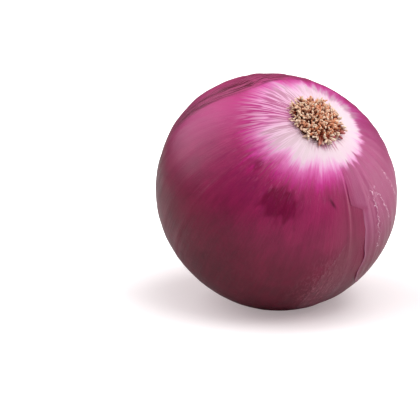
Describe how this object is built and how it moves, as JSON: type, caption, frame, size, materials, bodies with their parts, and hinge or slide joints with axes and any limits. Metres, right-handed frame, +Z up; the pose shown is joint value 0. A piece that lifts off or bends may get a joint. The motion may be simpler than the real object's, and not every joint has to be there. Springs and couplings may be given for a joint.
{
  "type": "red onion",
  "caption": "Whole red onion lying on its side: round bulb, dry papery outer skin, corky root plate with a tuft of dried roots, and a dried neck.",
  "frame": {"origin": "middle of the small flat spot that the bulb rests on", "axes": "+Z up, away from the resting surface; -Y towards the front, the side that the root end leans to; +X to the right seen from the front"},
  "size_m": [0.0791, 0.0795, 0.0748],
  "materials": {
    "bulb_skin": "satin",
    "dry_skin": "satin",
    "root_plate": "matte",
    "roots": "matte",
    "dried_neck": "matte"
  },
  "bodies": {
    "root": {"bulb": "bulb_skin", "dry_outer_skin": "dry_skin", "root_plate": "root_plate", "root_tuft": "roots", "neck": "dried_neck"}
  },
  "joints": []
}
